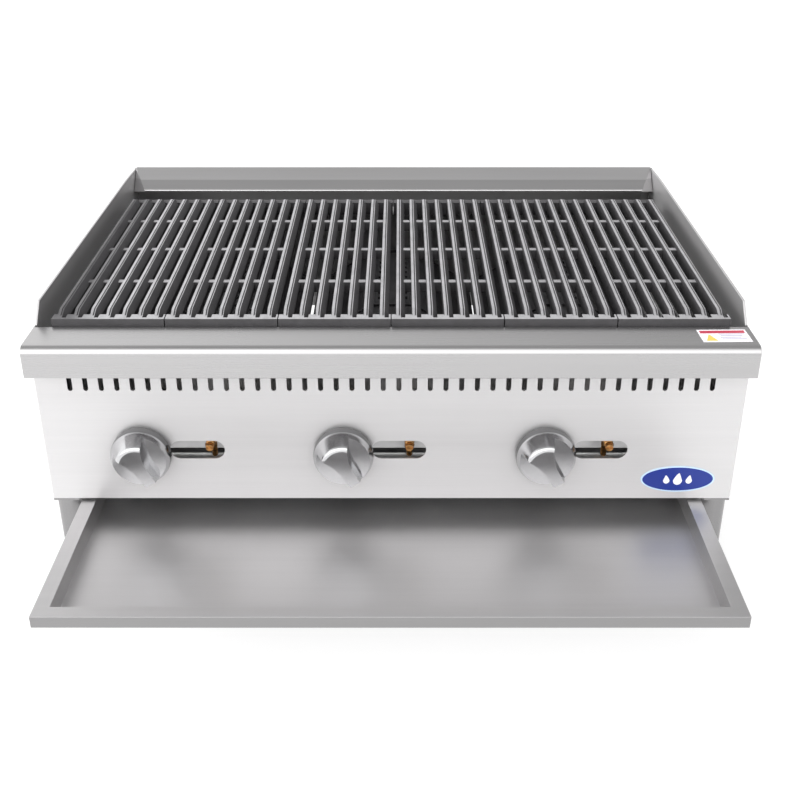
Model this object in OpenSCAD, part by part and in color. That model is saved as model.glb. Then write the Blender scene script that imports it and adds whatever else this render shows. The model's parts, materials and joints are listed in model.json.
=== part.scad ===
// Gas charbroiler, three burners, counter-top, 36 inch class, with a pull-out drip tray.
// +Y runs from the front to the back, +X to the right, +Z up. The floor is z = 0, and the origin
// is the middle of the footprint, with the drip tray pulled out and the gas inlet counted in.
// Each module measures y from the front face of the front rail, and placed() moves it into place.

/* [Body] */
// Width across the body and the front rail
body_w = 914; // [900:1:930]
// Depth from the front face of the rail to the back panel
body_d = 700; // [690:1:715]
// Height of the rail's top above the floor
rail_top = 362; // [360:1:366]
// Thickness of the sheet steel
sheet = 1.5; // [1.2:0.1:1.6]
// Rise of the splash guards above the rail
splash_rise = 24; // [20:1:30]
// Depth of the rail's top plate
rail_d = 64; // [62:1:64]
// Height of the rail's front face
rail_h = 41.5; // [38:0.5:44]
// Radius of the rail's bullnose
nose_r = 11; // [6:1:14]
// Distance of the control panel behind the rail's front face
panel_y = 33; // [30:1:34]
// Height of the body's bottom edge above the floor
body_z = 122; // [121:1:124]

/* [Controls] */
// Distance between two burners
burner_pitch = 266; // [262:1:268]
// Half the distance between the two runs of a burner
run_x = 63; // [60:1:66]
// Height of the knobs, the valves and the burners
gas_z = 195; // [194:0.5:196]
// Radius of a knob's skirt
knob_r = 39.5; // [36:0.5:40]
// Angle of a knob's grip from straight down when it is off
off_angle = 30; // [0:5:45]
// Length of a lighting slot
light_w = 72; // [66:1:76]
// Height of a lighting slot
light_h = 27; // [24:1:29]
// Number of vent slots under the rail
vent_n = 42; // [30:1:42]
// Distance between two vent slots
vent_pitch = 20.1; // [18:0.1:20.1]
// Width of a vent slot
vent_w = 6.5; // [4:0.5:8]

/* [Cooking] */
// Width of one grate
grate_w = 144; // [140:1:144]
// Distance of the grates' front behind the rail's front face
grate_y0 = 68; // [68:1:70]
// Distance of the grates' back behind the rail's front face
grate_y1 = 575; // [570:1:580]
// Height of the bars' tops above the rail
bar_rise = 13; // [10:1:15]
// Distance between two bars of a grate
bar_pitch = 20.7; // [18:0.1:20.7]
// Width of a bar's top
bar_w = 8.5; // [7:0.5:9]
// Radius of a burner's tube
burner_r = 19; // [17:0.5:19]
// Width of a radiant's flat ridge
ridge_w = 64; // [56:2:70]
// Width of a radiant across its lower edges
radiant_w = 262; // [236:2:262]

/* [Drip tray] */
// How far the tray's front stands ahead of the rail when the tray is pulled out
tray_out = 215; // [150:5:240]
// Length of the tray from front to back
tray_d = 660; // [640:5:670]
// Width of the tray across its rim
tray_w = 839; // [830:1:839]
// Depth of the tray's pan below its rim
pan_h = 28; // [20:1:30]

/* [Legs and gas] */
// Radius of a leg's tube
leg_r = 16.5; // [15:0.5:16.5]
// Distance of the front legs behind the rail's front face
leg_y0 = 52; // [51:1:56]
// Distance of the rear legs behind the rail's front face
leg_y1 = 660; // [640:1:668]
// Outer radius of the gas pipe
pipe_r = 13.35; // [13.35:0.05:13.35]
// Length of the gas inlet behind the back panel
pipe_out = 30; // [25:1:40]

/* [Hidden] */
$fn = 48;

half_w = body_w / 2;
mid_y = (body_d + pipe_out - tray_out) / 2;   // y of the origin behind the rail's front face
splash_top = rail_top + splash_rise;
rail_bottom = rail_top - rail_h;
flange = 20;            // width of the control panel's turned edges
seam = 0.3;             // gap between two sheets that meet edge to edge
runner_x = 421;         // inner face of a tray runner's web
runner_z = body_z - 11.7;
base_in = 34.5;         // width of the side panels' bottom flange

vent_z = rail_top - 76; // lowest point of the vent slots
vent_h = 26;
light_z = rail_top - 163.5;
light_dx = 73;          // from a knob's centre to its lighting slot's centre
pilot_dx = 87;          // from a knob's centre to its pilot screw
pilot_z = rail_top - 166;

box_y0 = 118;           // front wall of the firebox
box_y1 = 600;           // back wall of the firebox
box_x = 440;            // outer face of the firebox's side walls
box_z0 = 182;           // bottom of the firebox's side and back walls
front_z0 = 152;         // bottom of its front wall, which shields the gas pipe
box_z1 = 344;           // top of the firebox
ledge_z = 212;          // top of the ledges that carry the radiants
ledge_w = 14;
shelf_z = 302;          // top of the shelf over the valves

bar_top = rail_top + bar_rise;
bar_h = 24;
end_top = rail_top + 8; // top of a grate's end bars
grate_z = 346;          // bottom of the grates
end_d = 18;             // depth of a grate's end bar
bar_n = 7;
rib_n = 3;
grate_pitch = grate_w + 1.33;

manifold_y = 80;
manifold_z = 150;
manifold_r = 14;        // outer radius of the manifold's own pipe
inlet_x = 405;
wall_pipe = 2.87;
valve_y0 = 50;          // front of a gas valve
valve_y1 = 96;          // back of a gas valve's outlet
stem_r = 4;
run = 0.05;             // running clearance of a shaft in its hole

burner_y0 = 112;        // mouth of a burner
burner_y1 = 500;        // where a burner's bend starts
tube_wall = 1.5;

front_bolt = 30;        // from a front leg's axis back to the bolt in its plate
rear_bolt = 25;         // from a rear leg's axis forward to the bolt in its plate
foot_h = 24;
badge_x = 383;
badge_z = rail_top - 208.5;
badge_w = 99;
badge_h = 40;

burner_x = [for (i = [-1:1]) i * burner_pitch];
knob_x = [for (x = burner_x) x - run_x];
side = [-1, 1];

steel = "gainsboro";
dark_steel = "darkgray";
iron = "dimgray";
brass = "peru";

// ---------- placing ----------

module placed() { translate([0, -mid_y, 0]) children(); }

// A Y-Z outline drawn out along X
module along_x(x0, x1) {
    translate([x0, 0, 0]) rotate([90, 0, 90]) linear_extrude(x1 - x0) children();
}

// An X-Z outline drawn out along Y
module along_y(y0, y1) {
    translate([0, y1, 0]) rotate([90, 0, 0]) linear_extrude(y1 - y0) children();
}

// A round rod along Y
module rod_y(x, z, y0, y1, r, sides = 48) {
    translate([x, y1, z]) rotate([90, 0, 0]) cylinder(h = y1 - y0, r = r, $fn = sides);
}

// A round rod along Z
module rod_z(x, y, z0, z1, r, sides = 48) {
    translate([x, y, z0]) cylinder(h = z1 - z0, r = r, $fn = sides);
}

// A box between two corners
module block(lo, hi) { translate(lo) cube(hi - lo); }

// The right-hand half as drawn, or its mirror image on the left
module on_side(s) { mirror([s < 0 ? 1 : 0, 0, 0]) children(); }

// A slot with round ends, w along X and h along Z, the longer way decides its run
module slot(w, h) {
    r = min(w, h) / 2;
    square([w - (w > h ? 2 * r : 0), h - (w > h ? 0 : 2 * r)], center = true);
    for (s = side) translate(w > h ? [s * (w / 2 - r), 0] : [0, s * (h / 2 - r)]) circle(r);
}

// ---------- body sheets ----------

module side_panel(s) {
    placed() on_side(s) difference() {
        union() {
            along_x(half_w - sheet, half_w) polygon([
                [panel_y + flange + 2, body_z], [body_d - sheet, body_z],
                [body_d - sheet, rail_top - seam], [rail_d + seam, rail_top - seam],
                [rail_d + seam, rail_bottom - seam], [panel_y + flange + 2, rail_bottom - seam]]);
            block([half_w - sheet - base_in, panel_y + flange + 2, body_z],
                  [half_w - sheet, body_d - sheet, body_z + sheet]);
        }
        for (y = [leg_y0 + front_bolt, leg_y1 - rear_bolt])
            rod_z(half_w - leg_r, y, body_z - 1, body_z + 3, 3.1);
    }
}

module left_side_panel() { color(steel) side_panel(-1); }
module right_side_panel() { color(steel) side_panel(1); }

module back_panel() {
    color(steel) placed() difference() {
        block([-half_w + seam, body_d - sheet, body_z], [half_w - seam, body_d, splash_top - 2]);
        rod_y(inlet_x, manifold_z, body_d - 5, body_d + 5, pipe_r + 2);
        back_screws_at(body_d - 5, body_d + 5, 2.1);
        along_y(body_d - 5, body_d + 5)
            for (i = [-5:5]) for (z = [250, 290]) translate([i * 62, z]) slot(42, 7);
    }
}

// Rods at the places of the back panel's screws
module back_screws_at(y0, y1, r) {
    for (x = [-430, 0, 430]) for (z = [body_z + 12, 225]) rod_y(x, z, y0, y1, r, 24);
}

module control_panel() {
    color(steel) placed() difference() {
        union() {
            block([-half_w, panel_y, body_z], [half_w, panel_y + sheet, rail_bottom - seam]);
            block([-half_w + 2, panel_y, rail_bottom - 1], [half_w - 2, panel_y + sheet, rail_top - 17]);
            block([-half_w, panel_y, body_z], [half_w, panel_y + flange, body_z + sheet]);
            for (s = side) on_side(s)
                block([half_w - sheet, panel_y, body_z], [half_w, panel_y + flange, rail_bottom - seam]);
        }
        along_y(panel_y - 1, panel_y + 5) {
            for (i = [0:vent_n - 1])
                translate([(i - (vent_n - 1) / 2) * vent_pitch, vent_z + vent_h / 2]) slot(vent_w, vent_h);
            for (x = knob_x) translate([x + light_dx, light_z]) slot(light_w, light_h);
            for (x = knob_x) translate([x, gas_z]) circle(stem_r + 3);
        }
    }
}

// Outline of the rail's cross-section, drawn in by a sheet's thickness
module rail_outline(inset) {
    z0 = rail_bottom + inset;
    translate([inset, z0]) square([rail_d - 2 * inset, rail_top - nose_r - z0]);
    translate([nose_r, z0]) square([rail_d - inset - nose_r, rail_top - inset - z0]);
    translate([nose_r, rail_top - nose_r]) circle(nose_r - inset);
}

module front_rail() {
    color(steel) placed() {
        along_x(-half_w + sheet, half_w - sheet) difference() {
            rail_outline(0);
            rail_outline(sheet);
            translate([panel_y, rail_bottom - 1]) square([rail_d, 21]);
        }
        for (s = side) on_side(s) along_x(half_w - sheet, half_w) rail_outline(0);
    }
}

// ---------- splash guards ----------

// The guard is one sheet below the rail's top and is folded double above it
module side_splash(s) {
    hem = 3;
    back_y = body_d - sheet - 2;
    rise_y = rail_d + 6;
    curve = [for (i = [0:4]) [600 + i * (back_y - 600) / 4, splash_top - 3 * pow(i / 4, 2)]];
    placed() on_side(s) {
        along_x(half_w - hem, half_w - sheet) translate([rise_y, rail_top - 24])
            square([back_y - rise_y, 24]);
        along_x(half_w - hem, half_w)
            polygon(concat([[rise_y, rail_top], [rise_y + splash_rise, splash_top]], curve,
                           [[back_y, rail_top]]));
    }
}

module left_splash() { color(steel) side_splash(-1); }
module right_splash() { color(steel) side_splash(1); }

lip_y = 648;            // front of the back guard's rounded lip
lip_z = rail_top - 4;   // centre of the lip
lip_r = 3;
mitre = 22;             // how much shorter the lip is than the guard's top, at each end

// Slope from the top edge forward to a rounded lip, then a short return
module back_splash() {
    top_y = body_d - sheet;
    color(steel) placed() {
        intersection() {
            along_x(-half_w, half_w) {
                polygon([[top_y - 3.5, splash_top - 2], [top_y - 1.5, splash_top],
                         [lip_y + lip_r, lip_z + lip_r], [lip_y + lip_r, lip_z + lip_r - 1.7]]);
                translate([lip_y + lip_r, lip_z]) circle(lip_r);
                polygon([[lip_y, lip_z], [lip_y + 1.5, lip_z],
                         [lip_y + 5.5, rail_top - 26], [lip_y + 4, rail_top - 26]]);
            }
            along_y(lip_y - 5, body_d) polygon([
                [-half_w + 4 + mitre, rail_top - 30], [half_w - 4 - mitre, rail_top - 30],
                [half_w - 4 - mitre, lip_z], [half_w - 4, splash_top],
                [-half_w + 4, splash_top], [-half_w + 4 + mitre, lip_z]]);
        }
        block([-half_w + 4, top_y - sheet, rail_top - 40], [half_w - 4, top_y, splash_top]);
        for (s = side) on_side(s) gusset();
    }
}

// Three-cornered fold that closes the mitre against the side guard
module gusset() {
    t = 1.2;
    top = [half_w - 4, body_d - sheet - 2, splash_top - 1];
    lip = [half_w - 4 - mitre, lip_y + 2, lip_z - 1];
    foot = [half_w - 4, lip_y + 12, lip_z - 4];
    low = [0, 0, -t];
    polyhedron(points = [top, lip, foot, top + low, lip + low, foot + low],
               faces = [[0, 2, 1], [3, 4, 5], [0, 1, 4, 3], [1, 2, 5, 4], [2, 0, 3, 5]]);
}

// ---------- firebox ----------

module firebox_front() {
    x1 = box_x - sheet;
    color(dark_steel) placed() difference() {
        along_x(-x1, x1) polygon([
            [rail_d + 2, 338], [rail_d + 2, shelf_z - sheet], [box_y0, shelf_z - sheet],
            [box_y0, front_z0], [box_y0 + sheet, front_z0], [box_y0 + sheet, ledge_z - sheet],
            [box_y0 + ledge_w, ledge_z - sheet], [box_y0 + ledge_w, ledge_z],
            [box_y0 + sheet, ledge_z], [box_y0 + sheet, shelf_z],
            [rail_d + 2 + sheet, shelf_z], [rail_d + 2 + sheet, 338]]);
        for (x = knob_x) rod_y(x, gas_z, box_y0 - 5, box_y0 + 30, burner_r + 4);
        for (x = knob_x) rod_y(x + pilot_dx, pilot_z, box_y0 - 5, box_y0 + 30, 4);
        rod_y(inlet_x, manifold_z, box_y0 - 5, box_y0 + 5, manifold_r + 2);
    }
}

module firebox_back() {
    x1 = box_x - sheet;
    color(dark_steel) placed() along_x(-x1, x1) polygon([
        [box_y1, box_z0], [box_y1 + sheet, box_z0], [box_y1 + sheet, box_z1],
        [box_y1, box_z1], [box_y1, ledge_z], [box_y1 - ledge_w, ledge_z],
        [box_y1 - ledge_w, ledge_z - sheet], [box_y1, ledge_z - sheet]]);
}

module firebox_left() { color(dark_steel) firebox_wall(-1); }
module firebox_right() { color(dark_steel) firebox_wall(1); }

// Side wall with a flange at half height that reaches out to the side panel
module firebox_wall(s) {
    placed() on_side(s) along_y(box_y0, box_y1 + sheet) polygon([
        [box_x - sheet, box_z0], [box_x, box_z0], [box_x, 329], [half_w - sheet, 329],
        [half_w - sheet, 329 + sheet], [box_x, 329 + sheet], [box_x, box_z1],
        [box_x - sheet, box_z1]]);
    placed() on_side(s) block([box_x - sheet, rail_d + 2, shelf_z - sheet],
                              [box_x, box_y0, box_z1]);
}

module front_grate_rest() {
    x1 = box_x - sheet;
    y0 = rail_d + 2 + sheet;
    color(dark_steel) placed() along_x(-x1, x1) polygon([
        [y0, 320], [y0 + sheet, 320], [y0 + sheet, grate_z - sheet],
        [y0 + 24, grate_z - sheet], [y0 + 24, grate_z], [y0, grate_z]]);
}

module rear_grate_rest() {
    x1 = box_x - sheet;
    color(dark_steel) placed() along_x(-x1, x1) polygon([
        [box_y1, 320], [box_y1, grate_z], [grate_y1 - 16, grate_z],
        [grate_y1 - 16, grate_z - sheet], [box_y1 - sheet, grate_z - sheet],
        [box_y1 - sheet, 320]]);
}

// ---------- tray runners, legs and feet ----------

module tray_runner(s) {
    placed() on_side(s) along_y(panel_y + flange + 6, body_d - 12) polygon([
        [runner_x + sheet, body_z], [runner_x, body_z], [runner_x, runner_z + sheet],
        [runner_x - 15, runner_z + sheet], [runner_x - 15, runner_z],
        [runner_x + sheet, runner_z]]);
}

module left_tray_runner() { color(dark_steel) tray_runner(-1); }
module right_tray_runner() { color(dark_steel) tray_runner(1); }

// Tube with a plate welded on top and a threaded plug at its foot
module leg(s, y, dy) {
    x = half_w - leg_r;
    plate_z = body_z - 3;
    placed() on_side(s) difference() {
        union() {
            difference() {
                rod_z(x, y, foot_h + 6, plate_z, leg_r);
                rod_z(x, y, foot_h, plate_z - 2, leg_r - 2);
            }
            rod_z(x, y, foot_h + 6, foot_h + 18, leg_r - 1);
            block([x - leg_r - 1, y - (dy > 0 ? 18 : 48), plate_z],
                  [x + leg_r, y + (dy > 0 ? 48 : 18), body_z]);
        }
        rod_z(x, y, foot_h, foot_h + 30, 5 + run);
        rod_z(x, y + dy, plate_z - 1, body_z + 1, 3.1);
    }
}

module front_left_leg() { color(steel) leg(-1, leg_y0, front_bolt); }
module front_right_leg() { color(steel) leg(1, leg_y0, front_bolt); }
module rear_left_leg() { color(steel) leg(-1, leg_y1, -rear_bolt); }
module rear_right_leg() { color(steel) leg(1, leg_y1, -rear_bolt); }

module levelling_foot(s, y) {
    x = half_w - leg_r;
    placed() on_side(s) {
        translate([x, y, 0]) cylinder(h = 6, r = leg_r);
        translate([x, y, 6]) cylinder(h = foot_h - 14, r1 = leg_r, r2 = 11);
        rod_z(x, y, foot_h - 8, foot_h, 9.5, 6);
        rod_z(x, y, foot_h, foot_h + 34, 5);
    }
}

module front_left_foot() { color(iron) levelling_foot(-1, leg_y0); }
module front_right_foot() { color(iron) levelling_foot(1, leg_y0); }
module rear_left_foot() { color(iron) levelling_foot(-1, leg_y1); }
module rear_right_foot() { color(iron) levelling_foot(1, leg_y1); }

// ---------- gas train ----------

// Pipe across the front with a saddle for each valve, an elbow, a pipe to the back and a coupling
module manifold() {
    coupling_y = body_d - 40;
    color(iron) placed() difference() {
        union() {
            translate([-400, manifold_y, manifold_z]) rotate([0, 90, 0])
                cylinder(h = 400 + inlet_x, r = manifold_r);
            translate([-408, manifold_y, manifold_z]) rotate([0, 90, 0])
                cylinder(h = 20, r = manifold_r + 3);
            translate([inlet_x, manifold_y, manifold_z]) sphere(r = manifold_r + 3);
            rod_y(inlet_x, manifold_z, manifold_y, coupling_y, manifold_r);
            rod_y(inlet_x, manifold_z, coupling_y - 8, coupling_y + 30, manifold_r + 4);
            for (x = knob_x) rod_z(x, manifold_y, manifold_z, manifold_z + 19, 10);
        }
        translate([-395, manifold_y, manifold_z]) rotate([0, 90, 0])
            cylinder(h = 395 + inlet_x, r = manifold_r - wall_pipe);
        translate([inlet_x, manifold_y, manifold_z]) sphere(r = manifold_r - wall_pipe);
        rod_y(inlet_x, manifold_z, manifold_y, body_d, manifold_r - wall_pipe);
        rod_y(inlet_x, manifold_z, coupling_y + 2, body_d, pipe_r + run);
        for (x = knob_x) rod_z(x, manifold_y, manifold_z, manifold_z + 30, 6.4 + run);
        for (x = knob_x) rod_z(x + pilot_dx, manifold_y, manifold_z, manifold_z + 30, 4 + run);
    }
}

module gas_inlet_nipple() {
    color(iron) placed() difference() {
        union() {
            rod_y(inlet_x, manifold_z, body_d - 38, body_d, pipe_r - 1);
            rod_y(inlet_x, manifold_z, body_d, body_d + pipe_out, pipe_r);
        }
        rod_y(inlet_x, manifold_z, body_d - 50, body_d + pipe_out + 1, pipe_r - wall_pipe);
    }
}

// Plug valve: stem at the front, outlet at the back, inlet screwed down into the manifold
module gas_valve(x) {
    placed() difference() {
        union() {
            rod_y(x, gas_z, valve_y0, 60, 8);
            rod_y(x, gas_z, 60, 88, 13);
            rod_y(x, gas_z, 88, valve_y1, 8, 6);
            rod_z(x, manifold_y, manifold_z + 19, manifold_z + 27, 10, 6);
            rod_z(x, manifold_y, manifold_z + 8, gas_z, 6.4);
        }
        rod_y(x, gas_z, valve_y0 - 1, 73, stem_r + run);
        rod_y(x, gas_z, 72, valve_y1 + 1, 3);
        rod_z(x, manifold_y, manifold_z, gas_z, 2.5);
    }
}

module left_gas_valve() { color(brass) gas_valve(knob_x[0]); }
module middle_gas_valve() { color(brass) gas_valve(knob_x[1]); }
module right_gas_valve() { color(brass) gas_valve(knob_x[2]); }

flat_y = 27;            // where the stem's flat ends

// Turning stem with a flat that carries the knob
module valve_stem(x) {
    placed() difference() {
        rod_y(x, gas_z, 5, 71, stem_r);
        block([x - stem_r - 1, 4, gas_z + stem_r - 1.5], [x + stem_r + 1, flat_y, gas_z + stem_r + 1]);
    }
}

module left_valve_stem() { color(dark_steel) valve_stem(knob_x[0]); }
module middle_valve_stem() { color(dark_steel) valve_stem(knob_x[1]); }
module right_valve_stem() { color(dark_steel) valve_stem(knob_x[2]); }

knob_back = panel_y - 4;   // the knob stands clear of the panel

// Skirted dome with a tapered grip across it
module knob(x) {
    wide_r = 15;
    narrow_r = 8;
    wide_d = 17;
    narrow_d = 27;
    placed() difference() {
        union() {
            translate([x, knob_back, gas_z]) rotate([90, 0, 0]) rotate_extrude($fn = 96) polygon(concat(
                [[0, 0], [knob_r - 1, 0], [knob_r, 1], [knob_r, 4]],
                [for (a = [0:10:60]) [knob_r - 9 + 9 * cos(a), 4 + 9 * sin(a)]],
                [[28, 15], [24, 19], [0, 20]]));
            translate([x, 0, gas_z]) rotate([0, off_angle, 0]) translate([-x, 0, -gas_z])
                along_y(knob_back - 38, knob_back - 6) translate([x, gas_z]) {
                    translate([0, wide_d]) circle(wide_r);
                    translate([0, -narrow_d]) circle(narrow_r);
                    polygon([[-wide_r, wide_d], [wide_r, wide_d],
                             [narrow_r, -narrow_d], [-narrow_r, -narrow_d]]);
                }
        }
        difference() {
            rod_y(x, gas_z, 4, knob_back + 1, stem_r + 0.02);
            block([x - 6, 3, gas_z + stem_r - 1.5], [x + 6, flat_y, gas_z + 6]);
        }
    }
}

module left_knob() { color("silver") knob(knob_x[0]); }
module middle_knob() { color("silver") knob(knob_x[1]); }
module right_knob() { color("silver") knob(knob_x[2]); }

pilot_y0 = 46;          // front of a pilot valve's body
pilot_y1 = 88;          // back of a pilot valve's body

module pilot_valves() {
    color(brass) placed() for (x = knob_x) {
        px = x + pilot_dx;
        difference() {
            union() {
                rod_y(px, pilot_z, pilot_y0, pilot_y1, 5.5);
                rod_z(px, manifold_y, manifold_z + 8, pilot_z, 4);
            }
            rod_y(px, pilot_z, pilot_y0 - 1, 60, 3 + run);
            rod_y(px, pilot_z, 59, pilot_y1 + 1, 1.5);
            rod_z(px, manifold_y, manifold_z, pilot_z, 1.2);
        }
    }
}

// Adjusting screw with a slotted head
module pilot_screw(x) {
    placed() difference() {
        union() {
            rod_y(x + pilot_dx, pilot_z, pilot_y0 - 4, pilot_y0 - 0.2, 5);
            rod_y(x + pilot_dx, pilot_z, pilot_y0 - 1, 58, 3);
        }
        block([x + pilot_dx - 6, pilot_y0 - 5, pilot_z - 0.7],
              [x + pilot_dx + 6, pilot_y0 - 2.5, pilot_z + 0.7]);
    }
}

module left_pilot_screw() { color(brass) pilot_screw(knob_x[0]); }
module middle_pilot_screw() { color(brass) pilot_screw(knob_x[1]); }
module right_pilot_screw() { color(brass) pilot_screw(knob_x[2]); }

module pilot_tubes() {
    color("silver") placed() for (x = knob_x) difference() {
        rod_y(x + pilot_dx, pilot_z, pilot_y1, 150, 2.5);
        rod_y(x + pilot_dx, pilot_z, pilot_y1 - 1, 151, 1.5);
    }
}

// Small burner heads with a spreader plate
module pilot_burners() {
    color(dark_steel) placed() for (x = knob_x) {
        px = x + pilot_dx;
        difference() {
            rod_y(px, pilot_z, 150, 166, 5);
            rod_y(px, pilot_z, 149, 162, 1.5);
            rod_z(px, 158, pilot_z, pilot_z + 8, 1.1);
        }
        block([px - 7, 148, pilot_z + 9], [px + 7, 167, pilot_z + 10.2]);
        block([px - 7, 165.5, pilot_z - 7], [px + 7, 167, pilot_z + 10.2]);
    }
}

// U-shaped tube, open at the front of its left run, with flame ports along the top
module burner(x) {
    port_pitch = 24;
    placed() difference() {
        union() {
            rod_y(x - run_x, gas_z, burner_y0, burner_y1, burner_r);
            rod_y(x + run_x, gas_z, box_y0 + 30, burner_y1, burner_r);
            translate([x, burner_y1, gas_z]) rotate_extrude(angle = 180, $fn = 64)
                translate([run_x, 0]) circle(burner_r);
        }
        rod_y(x - run_x, gas_z, burner_y0 - 1, burner_y1, burner_r - tube_wall);
        rod_y(x + run_x, gas_z, box_y0 + 33, burner_y1, burner_r - tube_wall);
        translate([x, burner_y1, gas_z]) rotate_extrude(angle = 180, $fn = 64)
            translate([run_x, 0]) circle(burner_r - tube_wall);
        for (s = side) for (i = [0:12])
            block([x + s * run_x - 8, 175 + i * port_pitch, gas_z + burner_r - 4],
                  [x + s * run_x + 8, 177 + i * port_pitch, gas_z + burner_r + 1]);
    }
}

module left_burner() { color(iron) burner(burner_x[0]); }
module middle_burner() { color(iron) burner(burner_x[1]); }
module right_burner() { color(iron) burner(burner_x[2]); }

// Cap that turns on the burner's mouth, with three windows for air
module air_shutter(x) {
    y0 = burner_y0 - 2;
    placed() difference() {
        rod_y(x, gas_z, y0, y0 + 14, burner_r + 2);
        rod_y(x, gas_z, y0 + 1.5, y0 + 15, burner_r + run);
        rod_y(x, gas_z, y0 - 1, y0 + 5, 8);
        for (a = [30:120:270]) translate([x, y0 + 3, gas_z]) rotate([0, a, 0])
            translate([0, 0, 13]) rotate([90, 0, 0]) cylinder(h = 5, r = 3.5);
    }
}

module left_air_shutter() { color(dark_steel) air_shutter(knob_x[0]); }
module middle_air_shutter() { color(dark_steel) air_shutter(knob_x[1]); }
module right_air_shutter() { color(dark_steel) air_shutter(knob_x[2]); }

module orifice_hoods() {
    color(brass) placed() for (x = knob_x) difference() {
        union() {
            rod_y(x, gas_z, valve_y1, valve_y1 + 8, 7, 6);
            rod_y(x, gas_z, valve_y1 + 8, valve_y1 + 20, 5);
        }
        rod_y(x, gas_z, valve_y1 - 1, valve_y1 + 16, 3);
        rod_y(x, gas_z, valve_y1 + 10, valve_y1 + 21, 0.9);
    }
}

// ---------- radiants and grates ----------

// Cast roof over a burner: flat ridge with rows of square holes, and sloping sides
module radiant(x) {
    t = 5;
    ridge_z = rail_top - 96;
    y0 = box_y0 + 3;
    y1 = box_y1 - 3;
    hole = 10;
    placed() difference() {
        union() {
            along_y(y0, y1) translate([x, 0]) polygon([
                [-radiant_w / 2, ledge_z], [-ridge_w / 2, ridge_z], [ridge_w / 2, ridge_z],
                [radiant_w / 2, ledge_z], [radiant_w / 2 - 8, ledge_z],
                [ridge_w / 2 - 1, ridge_z - t], [-ridge_w / 2 + 1, ridge_z - t],
                [-radiant_w / 2 + 8, ledge_z]]);
            for (y = [y0, 355, y1 - t]) along_y(y, y + t) translate([x, 0]) polygon([
                [-radiant_w / 2 + 2, ledge_z], [-ridge_w / 2, ridge_z + 4],
                [ridge_w / 2, ridge_z + 4], [radiant_w / 2 - 2, ledge_z],
                [radiant_w / 2 - 12, ledge_z], [ridge_w / 2 - 3, ridge_z - t],
                [-ridge_w / 2 + 3, ridge_z - t], [-radiant_w / 2 + 12, ledge_z]]);
        }
        for (s = side) for (i = [0:19]) if (i != 9 && i != 10)
            translate([x + s * 18, 148 + i * 22, 0])
                block([-hole / 2, -hole / 2, ridge_z - t - 1], [hole / 2, hole / 2, ridge_z + 1]);
    }
}

module left_radiant() { color(iron) radiant(burner_x[0]); }
module middle_radiant() { color(iron) radiant(burner_x[1]); }
module right_radiant() { color(iron) radiant(burner_x[2]); }

// Cross-section of a bar: wide grooved top, narrow foot
module bar_outline() {
    w = bar_w / 2;
    z0 = bar_top - bar_h;
    polygon([[-w, bar_top], [-w * 0.55, z0], [w * 0.55, z0], [w, bar_top],
             [1.2, bar_top], [0, bar_top - 1.8], [-1.2, bar_top]]);
}

module grate(i) {
    x = (i - 3.5) * grate_pitch;
    slope = 16;
    y0 = grate_y0 + end_d - 6;
    y1 = grate_y1 - end_d + 6;
    rib_z = end_top - 18;
    color(iron) placed() translate([x, 0, 0]) {
        difference() {
            along_y(y0, y1) for (j = [0:bar_n - 1])
                translate([(j - (bar_n - 1) / 2) * bar_pitch, 0]) bar_outline();
            along_x(-grate_w, grate_w) {
                polygon([[y0 - 1, end_top - 1], [y0, end_top - 1], [y0 + slope, bar_top],
                         [y0 + slope, bar_top + 1], [y0 - 1, bar_top + 1]]);
                polygon([[y1 + 1, end_top - 1], [y1, end_top - 1], [y1 - slope, bar_top],
                         [y1 - slope, bar_top + 1], [y1 + 1, bar_top + 1]]);
            }
        }
        for (y = [grate_y0, grate_y1 - end_d])
            block([-grate_w / 2, y, grate_z], [grate_w / 2, y + end_d, end_top]);
        for (k = [1:rib_n]) {
            y = grate_y0 + 10 + k * (grate_y1 - grate_y0) / (rib_n + 1);
            block([-(bar_n - 1) / 2 * bar_pitch, y - 4, rib_z],
                  [(bar_n - 1) / 2 * bar_pitch, y + 4, end_top]);
        }
    }
}

// ---------- drip tray ----------

rim_z = body_z - 3;
rim_w = 19.5;
face_h = 16;            // height of the rim's turned-down front edge

// Folded pan with a flat rim whose edge turns down
module drip_tray() {
    x1 = tray_w / 2;
    y0 = -tray_out;
    y1 = tray_d - tray_out;
    px = x1 - rim_w;
    lo = y0 + rim_w;
    hi = y1 - rim_w;
    color(steel) placed() {
        difference() {
            union() {
                block([-x1, y0, rim_z - sheet], [x1, y1, rim_z]);
                block([-x1, y0, rim_z - 7], [x1, y1, rim_z - sheet]);
                block([-x1, y0, rim_z - face_h], [x1, y0 + sheet, rim_z - sheet]);
            }
            block([-x1 + sheet, y0 + sheet, rim_z - 8], [x1 - sheet, y1 - sheet, rim_z - sheet]);
            block([-px, lo, rim_z - 10], [px, hi, rim_z + 1]);
        }
        difference() {
            block([-px - sheet, lo - sheet, rim_z - pan_h], [px + sheet, hi + sheet, rim_z - sheet]);
            block([-px, lo, rim_z - pan_h + sheet], [px, hi, rim_z + 1]);
        }
    }
}

// ---------- fasteners and badge ----------

module screws() {
    color("silver") placed() {
        back_screws_at(body_d, body_d + 2.5, 4.5);
        back_screws_at(body_d - 6, body_d, 2);
        for (s = side) on_side(s) for (y = [leg_y0 + front_bolt, leg_y1 - rear_bolt]) {
            rod_z(half_w - leg_r, y, body_z - 7, body_z - 3, 6.5, 6);
            rod_z(half_w - leg_r, y, body_z - 3, body_z + 8, 3);
        }
    }
}

module badge() {
    color("royalblue") placed() along_y(panel_y - 1.2, panel_y)
        translate([badge_x, badge_z]) scale([badge_w / badge_h, 1]) circle(badge_h / 2);
}

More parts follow.
